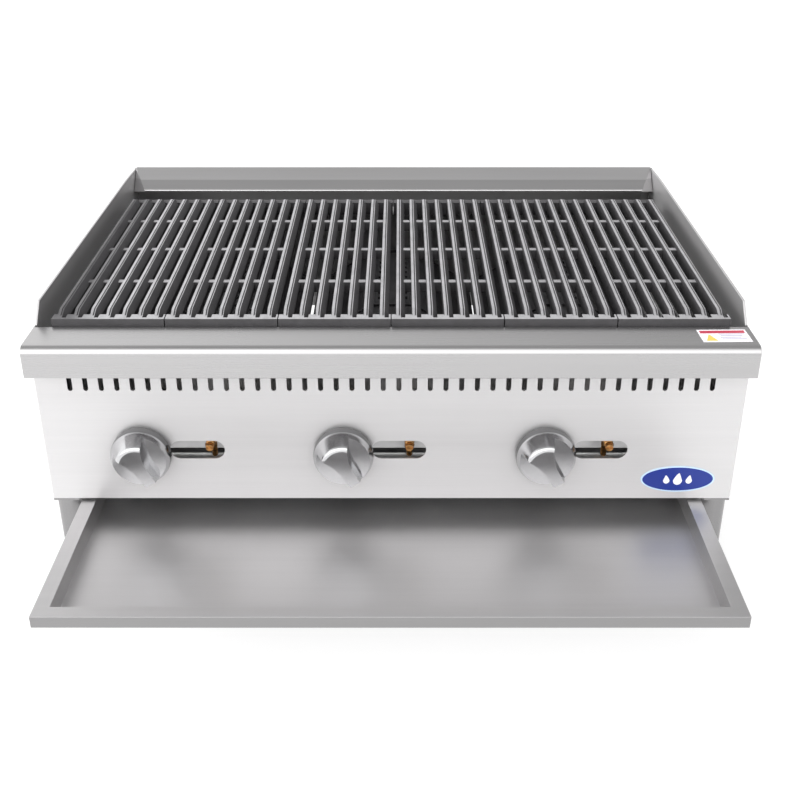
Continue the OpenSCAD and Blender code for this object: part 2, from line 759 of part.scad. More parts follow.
left_side_panel();
right_side_panel();
back_panel();
control_panel();
front_rail();
left_splash();
right_splash();
back_splash();
firebox_front();
firebox_back();
firebox_left();
firebox_right();
front_grate_rest();
rear_grate_rest();
left_tray_runner();
right_tray_runner();
front_left_leg();
front_right_leg();
rear_left_leg();
rear_right_leg();
front_left_foot();
front_right_foot();
rear_left_foot();
rear_right_foot();
manifold();
gas_inlet_nipple();
left_gas_valve();
middle_gas_valve();
right_gas_valve();
left_valve_stem();
middle_valve_stem();
right_valve_stem();
left_knob();
middle_knob();
right_knob();
pilot_valves();
left_pilot_screw();
middle_pilot_screw();
right_pilot_screw();
pilot_tubes();
pilot_burners();
left_burner();
middle_burner();
right_burner();
left_air_shutter();
middle_air_shutter();
right_air_shutter();
orifice_hoods();
left_radiant();
middle_radiant();
right_radiant();
grate(1);  // grate_1
grate(2);  // grate_2
grate(3);  // grate_3
grate(4);  // grate_4
grate(5);  // grate_5
grate(6);  // grate_6
drip_tray();
screws();
badge();
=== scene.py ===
"""Looks of a counter-top gas charbroiler, built round its packed model."""

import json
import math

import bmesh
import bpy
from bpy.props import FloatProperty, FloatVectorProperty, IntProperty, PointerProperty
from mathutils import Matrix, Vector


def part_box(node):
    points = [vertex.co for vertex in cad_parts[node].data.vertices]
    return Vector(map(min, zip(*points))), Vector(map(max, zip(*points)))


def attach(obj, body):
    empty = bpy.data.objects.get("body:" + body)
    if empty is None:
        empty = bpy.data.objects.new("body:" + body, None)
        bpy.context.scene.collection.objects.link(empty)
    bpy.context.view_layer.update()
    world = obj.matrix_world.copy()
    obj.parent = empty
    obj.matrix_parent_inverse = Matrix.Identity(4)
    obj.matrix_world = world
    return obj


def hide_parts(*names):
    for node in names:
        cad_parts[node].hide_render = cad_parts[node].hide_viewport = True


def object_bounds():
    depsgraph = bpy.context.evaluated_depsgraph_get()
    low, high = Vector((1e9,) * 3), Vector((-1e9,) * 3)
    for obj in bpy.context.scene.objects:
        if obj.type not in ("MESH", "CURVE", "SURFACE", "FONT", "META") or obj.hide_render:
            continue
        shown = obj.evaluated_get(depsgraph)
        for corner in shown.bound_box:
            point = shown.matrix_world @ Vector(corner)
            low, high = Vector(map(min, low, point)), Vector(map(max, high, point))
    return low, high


bl_info = {
    "name": "Gas Charbroiler",
    "version": (1, 0, 0),
    "blender": (4, 5, 0),
    "location": "3D View > Sidebar > Charbroiler",
    "description": "Sheet metal, castings, knobs and finishes for a three-burner gas charbroiler",
    "category": "Add Mesh",
}

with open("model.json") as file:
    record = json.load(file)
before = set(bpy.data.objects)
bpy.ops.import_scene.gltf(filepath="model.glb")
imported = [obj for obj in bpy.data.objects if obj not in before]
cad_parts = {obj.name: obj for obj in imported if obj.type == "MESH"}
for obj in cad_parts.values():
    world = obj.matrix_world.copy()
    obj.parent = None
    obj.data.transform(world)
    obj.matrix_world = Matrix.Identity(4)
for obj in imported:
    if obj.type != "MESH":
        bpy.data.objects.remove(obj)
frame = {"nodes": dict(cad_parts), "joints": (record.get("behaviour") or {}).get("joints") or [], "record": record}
cad_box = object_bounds()

MM = 0.001
WELD = 0.01 * MM                # vertices nearer than this are one
LEVEL = math.radians(0.4)       # faces that turn less than this are one face
WHITE = (1, 1, 1, 1)
SIDES = ("left", "middle", "right")
ENDS = ("front_left", "front_right", "rear_left", "rear_right")
GRATES = ["grate_%d" % i for i in range(1, 7)]
BODY_OF = {n: b for b, members in frame["record"]["behaviour"]["bodies"].items() for n in members}
SLOT_OF = {row["node"]: row["material_slot"] for row in frame["record"]["subparts"]}
HINGE = {j["name"]: j for j in frame["joints"] if j["type"] == "hinge"}


# ---------- sizes and colours a user would change ----------

def length(name, text, millimetres):
    return FloatProperty(name=name, description=text, default=millimetres * MM, min=0, unit="LENGTH",
                         precision=4)


def colour(name, text, *rgb):
    return FloatVectorProperty(name=name, description=text, default=(*rgb, 1), size=4, min=0, max=1,
                               subtype="COLOR")


class CharbroilerSizes(bpy.types.PropertyGroup):
    """Sizes of the detail that the packed model leaves out"""
    fold: length("Fold", "Radius of the folds and cut edges of the sheet metal", 0.5)
    hem_fold: length("Hem fold", "Radius of the guards' doubled edges", 0.9)
    rail_fold: length("Rail fold", "Radius of the front rail's folds", 1.2)
    corner: length("Corner", "Radius of the control panel's upright corners", 1.5)
    tray_fold: length("Tray fold", "Radius of the drip tray's folds", 1.1)
    bar_w: length("Bar width", "Width of a grate bar's top", 7.2)
    bar_pitch: length("Bar pitch", "Distance between two bars of a grate", 20.7)
    gutter_w: length("Gutter", "How far a bar's right side leans out", 5.2)
    groove_w: length("Groove width", "Width of the groove along a bar", 1.8)
    groove_h: length("Groove depth", "Depth of the groove along a bar", 1.1)
    cast_edge: length("Cast edge", "Radius of the castings' edges", 0.7)
    grip_h: length("Knob height", "Height of a knob's grip above its back", 35.0)
    cheek_h: length("Cheek height", "Height of the flat cheeks beside a grip", 19.5)
    crown_r: length("Crown", "Radius of the flat middle of a knob's dome", 22.5)
    grip_tip: length("Grip tip", "Half the width of a grip's narrow end", 7.6)
    grip_root: length("Grip root", "Half the width of a grip where it meets the rim", 22.0)
    label_w: length("Label width", "Width of the label on the rail", 62.0)
    label_d: length("Label depth", "Depth of the label on the rail", 37.0)
    bars: IntProperty(name="Bars", description="Number of bars in a grate", default=7, min=2)
    ribs: IntProperty(name="Ribs", description="Number of ribs under a grate's bars", default=3, min=1)


class CharbroilerColours(bpy.types.PropertyGroup):
    """Colours of the finishes"""
    steel: colour("Stainless", "Brushed stainless sheet", 0.63, 0.622, 0.626)
    dull: colour("Aluminised", "Dull steel of the firebox", 0.52, 0.52, 0.52)
    chrome: colour("Chrome", "Polished knobs", 0.60, 0.60, 0.61)
    cast: colour("Cast iron", "Rough sides of the castings", 0.055, 0.053, 0.056)
    ground: colour("Ground iron", "Worn tops of the bars", 0.52, 0.515, 0.53)
    brass: colour("Brass", "Valves and pilot screws", 0.70, 0.36, 0.13)
    enamel: colour("Enamel", "Field of the badge", 0.002, 0.022, 0.24)
    pale: colour("Pale blue", "Rim of the badge", 0.55, 0.72, 0.92)
    paper: colour("Paper", "Ground of the label", 0.85, 0.83, 0.86)
    red: colour("Red", "Band of the label", 0.45, 0.015, 0.05)
    amber: colour("Amber", "Mark on the label", 0.75, 0.52, 0.08)
    ink: colour("Ink", "Lines of the label", 0.38, 0.36, 0.50)


def sizes():
    return bpy.context.scene.charbroiler_sizes


def colours():
    return bpy.context.scene.charbroiler_colours


# ---------- finishes ----------

class Value:
    """An output of a finish's tree. Arithmetic on it adds Math nodes."""

    def __init__(self, tree, socket):
        self.tree, self.socket = tree, socket

    def _math(self, operation, *terms):
        return self.tree.node("ShaderNodeMath", {"operation": operation}, dict(enumerate(terms)))

    def __add__(self, other):
        return self._math("ADD", self, other)

    def __sub__(self, other):
        return self._math("SUBTRACT", self, other)

    def __rsub__(self, other):
        return self._math("SUBTRACT", other, self)

    def __mul__(self, other):
        return self._math("MULTIPLY", self, other)

    __radd__ = __add__
    __rmul__ = __mul__

    def ramp(self, low, high):
        """0 below low, 1 above high and smooth between."""
        return self.tree.node("ShaderNodeMapRange", {"interpolation_type": "SMOOTHSTEP"},
                              {"Value": self, "From Min": low, "From Max": high})


class Tree:
    """A node tree that grows by node()."""

    def __init__(self, owner):
        owner.use_nodes = True
        self.tree = owner.node_tree

    def node(self, kind, settings=None, inputs=None, output=0):
        made = self.tree.nodes.new(kind)
        for key, value in (settings or {}).items():
            setattr(made, key, value)
        for key, value in (inputs or {}).items():
            self.join(made.inputs[key], value)
        return Value(self, made.outputs[output])

    def join(self, socket, value):
        if isinstance(value, Value):
            self.tree.links.new(value.socket, socket)
        else:
            socket.default_value = value

    def axis(self, vector, name):
        return self.node("ShaderNodeSeparateXYZ", None, {"Vector": vector}, "XYZ".index(name))

    def blend(self, factor, a, b):
        return self.node("ShaderNodeMix", {"data_type": "RGBA"}, {0: factor, 6: a, 7: b}, 2)


class Finish(Tree):
    """A Principled material. set() gives its sockets numbers, colours or values."""

    def __init__(self, name, **sockets):
        self.material = bpy.data.materials.new(name)
        super().__init__(self.material)
        self.shader = self.tree.nodes["Principled BSDF"]
        self.set(**sockets)

    def set(self, **sockets):
        for name, value in sockets.items():
            self.join(self.shader.inputs[name.replace("_", " ")], value)

    def place(self):
        return self.node("ShaderNodeTexCoord", output="Object")

    def facing(self, name):
        return self.axis(self.node("ShaderNodeNewGeometry", output="Normal"), name)

    def noise(self, stretch, detail=3.0, roughness=0.5):
        """Noise with so many features a metre along X, Y and Z."""
        spot = self.node("ShaderNodeMapping", None, {"Vector": self.place(), "Scale": stretch})
        return self.node("ShaderNodeTexNoise", None,
                         {"Vector": spot, "Scale": 1.0, "Detail": detail, "Roughness": roughness})

    def bump(self, height, depth, strength=1.0):
        self.set(Normal=self.node("ShaderNodeBump", None,
                                  {"Height": height, "Distance": depth, "Strength": strength}))


def tint(rgba, gain):
    """A colour made brighter or darker."""
    return (*(min(1.0, c * gain) for c in rgba[:3]), 1)


def brushed(name, grain, shade, rough=0.30, streak=0.12, wave=0.05, metal=1.0, painted_shade_where=None, gain=0.55):
    """Sheet steel with fine lines along one axis and a slow drift in its polish.

    dim() says where the sheet is darker, and gain by how much.
    """
    made = Finish(name, Metallic=metal)
    lines = made.noise([7 if axis == grain else 900 for axis in "XYZ"], 4.0, 0.6)
    bands = made.noise([1.5 if axis == grain else 90 for axis in "XYZ"], 2.0)
    drift = made.noise([5, 5, 5], 2.0)
    tone = lines * 0.5 + bands * 0.5
    dark, bright = 0.90, 1.06
    surface = made.blend(tone, tint(shade, dark), tint(shade, bright))
    # Painted shade: where dim() says, the sheet's colour is darkened by gain.
    if painted_shade_where:
        darker = made.blend(tone, tint(shade, dark * gain), tint(shade, bright * gain))
        surface = made.blend(painted_shade_where(made), surface, darker)
    made.set(Base_Color=surface,
             Roughness=(tone - 0.5) * streak + (drift - 0.5) * wave + rough)
    made.bump(lines, 0.04 * MM, 0.35)
    return made.material


def cast_iron(name, top_z, shine, grates=None):
    """Sand-cast iron, pale where it faces up near its top, dark and rough elsewhere.

    grates holds the lowest corner of the leftmost grate and its highest one. Their front face and
    rear end stay dark, and the bars nearest the left guard are less worn.
    """
    shade = colours()
    made = Finish(name)
    grit = made.noise([520, 520, 520], 5.0, 0.65)
    mottle = made.noise([70, 35, 70], 3.0)
    lumps = made.noise([160, 160, 160], 2.0)
    place = made.place()
    wear_and_painted_shade = made.facing("Z").ramp(0.62, 0.93)
    wear_and_painted_shade = wear_and_painted_shade * made.axis(place, "Z").ramp(top_z - 22 * MM, top_z - 11 * MM)
    if grates:
        low, high = grates
        across, along = made.axis(place, "X"), made.axis(place, "Y")
        # Painted shade: the rear end and the front edge of the grates stay dark.
        wear_and_painted_shade = wear_and_painted_shade * (1 - along.ramp(high.y - 20 * MM, high.y - 16 * MM))
        wear_and_painted_shade = wear_and_painted_shade * along.ramp(low.y + 1 * MM, low.y + 4 * MM)
        # Painted shade of the left guard: the bars nearest it are duller.
        wear_and_painted_shade = wear_and_painted_shade * (across.ramp(low.x + 22 * MM, low.x + 62 * MM) * 0.9 + 0.1)
    # The pale tone mixes real wear of the tops with the painted shade above.
    wear_and_shade_tone = (wear_and_painted_shade * (mottle * 0.9 + 0.42) + (grit - 0.5) * 0.5 * wear_and_painted_shade) * shine
    rough_side = made.blend(mottle, tint(shade.cast, 0.75), tint(shade.cast, 1.4))
    made.set(Base_Color=made.blend(wear_and_shade_tone, rough_side, shade.ground),
             Metallic=wear_and_shade_tone * 0.5 + 0.1, Roughness=(grit - 0.5) * 0.2 - wear_and_shade_tone * 0.1 + 0.6)
    made.bump(grit + lumps * 0.8, 0.5 * MM, 0.8)
    return made.material


def polished(name, shade, rough, painted_shade_depth=None):
    """Plated or machined metal with faint polishing marks, dark behind the depth dark_from."""
    made = Finish(name, Metallic=1.0)
    marks = made.noise([260, 260, 260], 3.0)
    surface = made.blend(marks, tint(shade, 0.93), tint(shade, 1.04))
    if painted_shade_depth is not None:
        # Painted shade: behind that depth the metal is tinted dark.
        behind = made.axis(made.place(), "Y").ramp(painted_shade_depth, painted_shade_depth + 2 * MM)
        surface = made.blend(behind, surface, tint(shade, 0.25))
    made.set(Base_Color=surface, Roughness=marks * 0.06 + rough)
    made.bump(marks, 0.02 * MM, 0.12)
    return made.material


def turned_brass():
    """Lathe-turned brass with fine rings and some tarnish."""
    made = Finish("turned_brass", Metallic=1.0)
    rings = made.noise([150, 1400, 150], 3.0)
    tarnish = made.noise([240, 240, 240], 3.0)
    brass = colours().brass
    made.set(Base_Color=made.blend(tarnish.ramp(0.3, 0.7), tint(brass, 0.45), brass),
             Roughness=rings * 0.2 + 0.22)
    made.bump(rings, 0.05 * MM, 0.4)
    return made.material


def dull_steel(name, gain, rough=0.5):
    """Mill-finish steel with faint spangle."""
    made = Finish(name, Metallic=0.85)
    spangle = made.noise([120, 120, 120], 4.0)
    stain = made.noise([14, 14, 14], 3.0)
    shade = colours().dull
    mix = spangle * 0.5 + stain * 0.5
    made.set(Base_Color=made.blend(mix, tint(shade, gain * 0.75), tint(shade, gain * 1.2)),
             Roughness=(spangle - 0.5) * 0.2 + rough)
    made.bump(spangle, 0.05 * MM, 0.3)
    return made.material


def coated(name, shade, rough=0.25, speckle=0.06, coat=0.3):
    """Paint, enamel or printed film."""
    made = Finish(name, Coat_Weight=coat, Coat_Roughness=0.08)
    fleck = made.noise([700, 700, 700], 2.0)
    made.set(Base_Color=made.blend(fleck, tint(shade, 1 - speckle), tint(shade, 1 + speckle)),
             Roughness=(fleck - 0.5) * 0.08 + rough)
    made.bump(fleck, 0.02 * MM, 0.2)
    return made.material


# ---------- making and placing pieces ----------

def settle(name, bm, finish, body, nodes=(), slot=None, smooth=32):
    """Turns a bmesh into a piece that rides on a body and may stand for CAD nodes."""
    mesh = bpy.data.meshes.new(name)
    bm.to_mesh(mesh)
    bm.free()
    mesh.materials.append(finish)
    mesh.shade_smooth()
    mesh.set_sharp_from_angle(angle=math.radians(smooth))
    piece = bpy.data.objects.new(name, mesh)
    bpy.context.scene.collection.objects.link(piece)
    flat_faces = piece.modifiers.new("flat_faces", "WEIGHTED_NORMAL")
    flat_faces.weight, flat_faces.keep_sharp = 90, True
    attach(piece, body)
    if nodes:
        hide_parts(*nodes)
    return piece


def ease(bm, edges, radius, segments=2):
    """Rounds edges."""
    bmesh.ops.bevel(bm, geom=edges, offset=radius, offset_type="OFFSET", segments=segments, profile=0.5,
                    affect="EDGES", material=-1, clamp_overlap=True)


def sharp_edges(bm, degrees=35):
    """Edges where two faces meet at more than an angle."""
    limit = math.radians(degrees)
    return [e for e in bm.edges if e.is_manifold and e.calc_face_angle(0) > limit]


def skin(node, finish, radius=None, segments=2, first=None):
    """A welded copy of a CAD node with its edges eased. first() may round some edges beforehand."""
    bm = bmesh.new()
    bm.from_mesh(frame["nodes"][node].data)
    bmesh.ops.remove_doubles(bm, verts=bm.verts, dist=WELD)
    bmesh.ops.dissolve_limit(bm, angle_limit=LEVEL, verts=bm.verts, edges=bm.edges)
    if first:
        first(bm)
    radius = sizes().fold if radius is None else radius
    if radius:
        ease(bm, sharp_edges(bm), radius, segments)
    return settle(node + "_skin", bm, finish, BODY_OF[node], [node], SLOT_OF[node])


def box(bm, low, high):
    """A closed box between two corners. Returns its vertices."""
    low, high = Vector(low), Vector(high)
    made = bmesh.ops.create_cube(bm, size=1.0)["verts"]
    bmesh.ops.scale(bm, verts=made, vec=high - low)
    bmesh.ops.translate(bm, verts=made, vec=(low + high) / 2)
    return made


def loft(bm, rings):
    """Draws a closed outline through a row of rings, and caps both ends."""
    verts = [bm.verts.new(p) for p in rings[0]]
    edges = [bm.edges.new((a, b)) for a, b in zip(verts, verts[1:] + verts[:1])]
    caps = list(edges)
    for before, ring in zip(rings, rings[1:]):
        made = bmesh.ops.extrude_edge_only(bm, edges=edges)["geom"]
        edges = [g for g in made if isinstance(g, bmesh.types.BMEdge)]
        moved = {v for e in edges for v in e.verts}
        lookup = {Vector(p).freeze(): Vector(q) for p, q in zip(before, ring)}
        for vert in moved:
            vert.co = min(lookup.items(), key=lambda pair: (pair[0] - vert.co).length)[1]
    bmesh.ops.holes_fill(bm, edges=caps + edges, sides=0)
    bmesh.ops.recalc_face_normals(bm, faces=bm.faces)


def turn(bm, outline, centre, steps=64):
    """Spins an outline of (radius, reach) points round an axis that points to the front."""
    verts = [bm.verts.new(centre + Vector((r, -h, 0))) for r, h in outline]
    edges = [bm.edges.new(pair) for pair in zip(verts, verts[1:])]
    bmesh.ops.spin(bm, geom=verts + edges, cent=centre, axis=(0, 1, 0), angle=math.tau, steps=steps,
                   use_merge=True)
    bmesh.ops.remove_doubles(bm, verts=bm.verts, dist=WELD)
    bmesh.ops.recalc_face_normals(bm, faces=bm.faces)


def combined(bm_a, bm_b, operation="UNION"):
    """The union or the difference of two bmeshes, as a new bmesh."""
    parts = []
    for bm in (bm_a, bm_b):
        mesh = bpy.data.meshes.new("casting")
        bm.to_mesh(mesh)
        bm.free()
        parts.append(bpy.data.objects.new("casting", mesh))
        bpy.context.scene.collection.objects.link(parts[-1])
    tool = parts[0].modifiers.new("tool", "BOOLEAN")
    tool.operation, tool.solver, tool.object = operation, "EXACT", parts[1]
    whole = bmesh.new()
    whole.from_object(parts[0], bpy.context.evaluated_depsgraph_get())
    for part in parts:
        bpy.data.meshes.remove(part.data)
    return whole


# ---------- sheet metal ----------

def build_cabinet():
    steel = colours().steel
    crease_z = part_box("back_splash")[1].z - 14 * MM

    # Painted shade: the back guard is darker below its crease, by the gain 0.78.
    def painted_shade_below_crease(made):
        return 1 - made.axis(made.place(), "Z").ramp(crease_z - 1 * MM, crease_z)

    # Lit and shaded copies of one stainless: painted light makes the control panel lighter, painted shade makes
    # the outer sides and back darker.
    panel = brushed("panel_steel", "X", tint(steel, 1.05), 0.38, 0.06, 0.03, 0.6)
    side = brushed("side_steel", "Y", tint(steel, 0.96), 0.42, 0.12, 0.08, 0.75)
    outer = brushed("outer_steel", "Y", tint(steel, 0.84), 0.40, 0.12, 0.08, 0.85)
    back = brushed("back_steel", "X", tint(steel, 0.82), 0.42, 0.10, 0.06, 0.8)
    splash = brushed("splash_steel", "X", steel, 0.34, 0.14, 0.08, 1.0, painted_shade_below_crease, 0.78)

    def round_corners(bm):
        low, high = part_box("control_panel")
        near = 0.05 * MM
        upright = [e for e in bm.edges if all(
            abs(v.co.y - low.y) < near and min(abs(v.co.x - low.x), abs(v.co.x - high.x)) < near
            for v in e.verts)]
        ease(bm, upright, sizes().corner, 4)

    skin("control_panel", panel, first=round_corners)
    for node in ("left_side_panel", "right_side_panel"):
        skin(node, outer)
    skin("back_panel", back)
    for node in ("left_splash", "right_splash"):
        skin(node, side, sizes().hem_fold, 3)
    skin("back_splash", splash)


def build_rail():
    finish = brushed("rail_steel", "X", tint(colours().steel, 0.80), 0.27, 0.12, 0.08)
    skin("front_rail", finish, sizes().rail_fold, 3)


def build_firebox():
    finish = dull_steel("firebox_steel", 0.9, 0.45)
    for node in ("firebox_front", "firebox_back", "firebox_left", "firebox_right",
                 "front_grate_rest", "rear_grate_rest", "left_tray_runner", "right_tray_runner"):
        skin(node, finish, 0.3 * MM)


def build_tray():
    # Painted shade: the faces that look to the front are darker.
    def painted_shade_front_faces(made):
        return 1 - made.facing("Y").ramp(-0.95, -0.5)

    finish = brushed("tray_steel", "X", tint(colours().steel, 0.93), 0.44, 0.10, 0.12, painted_shade_where=painted_shade_front_faces)
    skin("drip_tray", finish, sizes().tray_fold, 3)


def build_legs():
    tube = brushed("leg_steel", "Z", tint(colours().steel, 0.5), 0.25, 0.08)
    foot = dull_steel("foot_steel", 0.7, 0.4)
    zinc = polished("zinc", (0.60, 0.61, 0.63, 1), 0.3)
    for end in ENDS:
        skin(end + "_leg", tube)
        skin(end + "_foot", foot)
    skin("screws", zinc, 0.3 * MM)


# ---------- gas train ----------

def build_gas_train():
    pipe = dull_steel("pipe_steel", 1.7, 0.45)
    brass = turned_brass()
    zinc = polished("stem_zinc", (0.60, 0.61, 0.63, 1), 0.3)
    for node in ("manifold", "gas_inlet_nipple"):
        skin(node, pipe)
    for side in SIDES:
        skin(side + "_gas_valve", brass)
        skin(side + "_valve_stem", zinc, 0.2 * MM)
        skin(side + "_pilot_screw", brass, 0.3 * MM)
    skin("pilot_valves", brass)
    skin("orifice_hoods", brass)
    bm = bmesh.new()
    for side in SIDES:
        low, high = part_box(side + "_pilot_screw")
        turn_ribs(bm, Vector(((low.x + high.x) / 2, low.y, (low.z + high.z) / 2)))
    settle("pilot_collars", bm, brass, BODY_OF["pilot_valves"], slot=SLOT_OF["pilot_valves"])


def turn_ribs(bm, centre):
    """Three collars behind a pilot screw's head."""
    inner, outer, thick, bevel = 5.6 * MM, 6.6 * MM, 2.8 * MM, 0.6 * MM
    first, pitch = 6.5 * MM, 4.2 * MM
    outline = [(inner, 0), (outer, -bevel), (outer, bevel - thick), (inner, -thick), (inner, 0)]
    for k in range(3):
        turn(bm, outline, centre + Vector((0, first + pitch * k, 0)), 32)


def build_burners():
    steel = dull_steel("burner_steel", 0.55, 0.5)
    for side in SIDES:
        skin(side + "_burner", steel)
        skin(side + "_air_shutter", steel)
    skin("pilot_tubes", steel, 0)
    skin("pilot_burners", steel, 0.2 * MM)


# ---------- castings ----------

def build_radiants():
    for side in SIDES:
        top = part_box(side + "_radiant")[1].z
        finish = cast_iron(side + "_radiant_iron", top, 0.22)
        skin(side + "_radiant", finish, sizes().cast_edge, 2)


def bar_rings(x, low, high):
    """Outlines along one bar. Its right side leans out, and its top falls away at both ends."""
    s = sizes()
    half, groove = s.bar_w / 2, s.groove_w / 2
    top, foot = high.z, high.z - 19 * MM
    drop, slope = 6.0 * MM, 14 * MM

    def ring(y, fall, narrow):
        crown = top - fall
        lean = s.gutter_w * (0.35 if fall else 1)
        return [(x + u * narrow, y, z) for u, z in (
            (-half * 1.1, foot), (half + lean * 0.8, foot), (half + lean, crown - 9.0 * MM),
            (half, crown - 1.4 * MM), (half * 0.84, crown),
            (half * 0.35 + groove, crown), (half * 0.35, crown - s.groove_h),
            (half * 0.35 - groove, crown),
            (-half * 0.84, crown), (-half, crown - 1.4 * MM))]

    return [ring(low.y + 7 * MM, drop, 0.85), ring(low.y + 12 * MM, drop - 0.5 * MM, 0.9),
            ring(low.y + 12 * MM + slope, 0, 1), ring(high.y - 12 * MM - slope, 0, 1),
            ring(high.y - 12 * MM, drop - 0.5 * MM, 0.9), ring(high.y - 9 * MM, drop, 0.8)]


def build_grates():
    """One grate, cast as bars on two end bars and some ribs, and its copies.

    A drain beside each bar lets its gutter run out through the front end bar.
    """
    s = sizes()
    low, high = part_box("grate_1")
    middle = (low.x + high.x) / 2
    end_top = high.z - 5 * MM
    end_d = 18 * MM
    half_run = (s.bars - 1) / 2 * s.bar_pitch
    bar_x = [middle - 1 * MM - half_run + j * s.bar_pitch for j in range(s.bars)]
    bars, cross, drains = bmesh.new(), bmesh.new(), bmesh.new()
    for x in bar_x:
        loft(bars, bar_rings(x, low, high))
    for y, outer, sunk, draft in ((low.y, low.y, 0, 3 * MM),
                                  (high.y - end_d, high.y, 3 * MM, -3 * MM)):
        made = box(cross, (low.x, y, low.z), (high.x, y + end_d, end_top - sunk))
        lip = [v for v in made if v.co.z > low.z + 1 * MM and abs(v.co.y - outer) < 1 * MM]
        bmesh.ops.translate(cross, verts=lip, vec=(0, draft, 0))
    half_rib = 5 * MM
    for k in range(1, s.ribs + 1):
        y = low.y + 10 * MM + k * (high.y - low.y) / (s.ribs + 1)
        box(cross, (middle - half_run, y - half_rib, end_top - 16 * MM),
            (middle + half_run, y + half_rib, end_top - 1.5 * MM))
    for x in bar_x:
        side = x + s.bar_w / 2
        box(drains, (side - 0.5 * MM, low.y + 8 * MM, end_top - 9 * MM),
            (side + 5 * MM, low.y + end_d + 1 * MM, end_top + 1 * MM))
    whole = combined(bars, combined(cross, drains, "DIFFERENCE"))
    bmesh.ops.dissolve_limit(whole, angle_limit=LEVEL, verts=whole.verts, edges=whole.edges)
    ease(whole, sharp_edges(whole, 25), s.cast_edge * 0.8, 2)
    finish = cast_iron("grate_iron", high.z, 1.0, (low, high))
    for node in GRATES:
        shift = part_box(node)[0].x - low.x
        copy = whole.copy()
        bmesh.ops.translate(copy, verts=copy.verts, vec=(shift, 0, 0))
        settle(node + "_casting", copy, finish, BODY_OF[node], [node], SLOT_OF[node])
    whole.free()


# ---------- knobs ----------

def grip_half(along, rim):
    """Half the width of a knob's grip at a place along it. It flares towards the rim."""
    s = sizes()
    flare = min(1.3, max(0.0, (along + 0.25 * rim) / (0.96 * rim)))
    return s.grip_tip + (s.grip_root - s.grip_tip) * flare ** 1.7 + 0.03 * max(0.0, along + rim)


def cheek(rim, side):
    """Plan of what is cut away beside the grip, as (across, along), for a given draft."""
    stations = [(-1.15 + 2.3 * k / 24) * rim for k in range(25)]

    def plan(draft):
        inner = [(side * (grip_half(a, rim) + draft), a) for a in stations]
        return inner + [(side * 1.3 * rim, stations[-1]), (side * 1.3 * rim, stations[0])]
    return plan


def pointer(rim, draft):
    """Plan of the grip's narrow end."""
    tip = -0.80 * rim - draft
    stations = [tip + (0.15 * rim - tip) * k / 6 for k in range(7)]
    right = [(grip_half(a, rim) + draft, a) for a in stations]
    return right + [(-across, along) for across, along in reversed(right)]


def raised(bm, plans):
    """Lofts plans drawn as (across, along) at their heights above the knob's back."""
    loft(bm, [[(across, -height, along) for across, along in plan] for height, plan in plans])


def build_knobs():
    s = sizes()
    origin = Vector((0, 0, 0))
    at_rest = Matrix.Rotation(math.radians(-30), 3, "Y")
    level = math.radians(0.5)
    back_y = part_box("left_knob")[1].y
    # Painted shade on each knob's skirt within 13 mm of its back.
    chrome = polished("knob_chrome", colours().chrome, 0.12, back_y - 13 * MM)
    for side in SIDES:
        node = side + "_knob"
        low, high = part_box(node)
        axle = Vector(HINGE[node + "_turn"]["pos_m"])
        rim = (high.x - low.x) / 2
        back = Vector((axle.x, high.y, axle.z))
        outline = [(0, 0), (rim - 1 * MM, 0), (rim, 1 * MM)]
        outline += [(rim, 9 * MM), (rim - 0.5 * MM, 12 * MM), (rim - 1.8 * MM, 15 * MM)]
        outline += [(s.crown_r + r * MM, s.grip_h - drop * MM)
                 for r, drop in ((6.6, 4.6), (5.6, 2.6), (4.2, 1.2), (2.4, 0.35), (0, 0))]
        outline.append((0, s.grip_h))
        body = bmesh.new()
        turn(body, outline, origin, 96)
        for hand in (-1, 1):
            cut = bmesh.new()
            plan = cheek(rim, hand)
            raised(cut, [(s.cheek_h, plan(1.6 * MM)), (s.grip_h + 3 * MM, plan(-0.4 * MM))])
            body = combined(body, cut, "DIFFERENCE")
        tip = bmesh.new()
        raised(tip, [(s.cheek_h - 2 * MM, pointer(rim, 1.8 * MM)),
                     (s.grip_h - 0.02 * MM, pointer(rim, -0.3 * MM))])
        body = combined(body, tip)
        bmesh.ops.dissolve_limit(body, angle_limit=level, verts=body.verts, edges=body.edges)
        ease(body, sharp_edges(body, 24), 0.9 * MM, 3)
        bmesh.ops.rotate(body, verts=body.verts, cent=origin, matrix=at_rest)
        bmesh.ops.translate(body, verts=body.verts, vec=back)
        settle(node + "_cap", body, chrome, BODY_OF[node], [node], SLOT_OF[node], 40)


# ---------- badge and label ----------

def plate(bm, outline, low, high):
    """An upright plate from an X-Z outline, between two depths."""
    loft(bm, [[(x, low, z) for x, z in outline], [(x, high, z) for x, z in outline]])


def oval(centre, half_w, half_h, count=64):
    return [(centre.x + half_w * math.cos(math.tau * k / count),
             centre.z + half_h * math.sin(math.tau * k / count)) for k in range(count)]


def flame(centre, size, lean):
    """A drop with a leaning tip."""
    points = []
    for k in range(28):
        a = math.tau * k / 28
        rise = math.sin(a)
        width = math.cos(a) * (1 - 0.55 * max(0.0, rise)) * 0.5
        points.append((centre.x + size * (width + lean * max(0.0, rise) ** 2),
                       centre.z + size * (rise * (0.95 if rise > 0 else 0.55))))
    return points


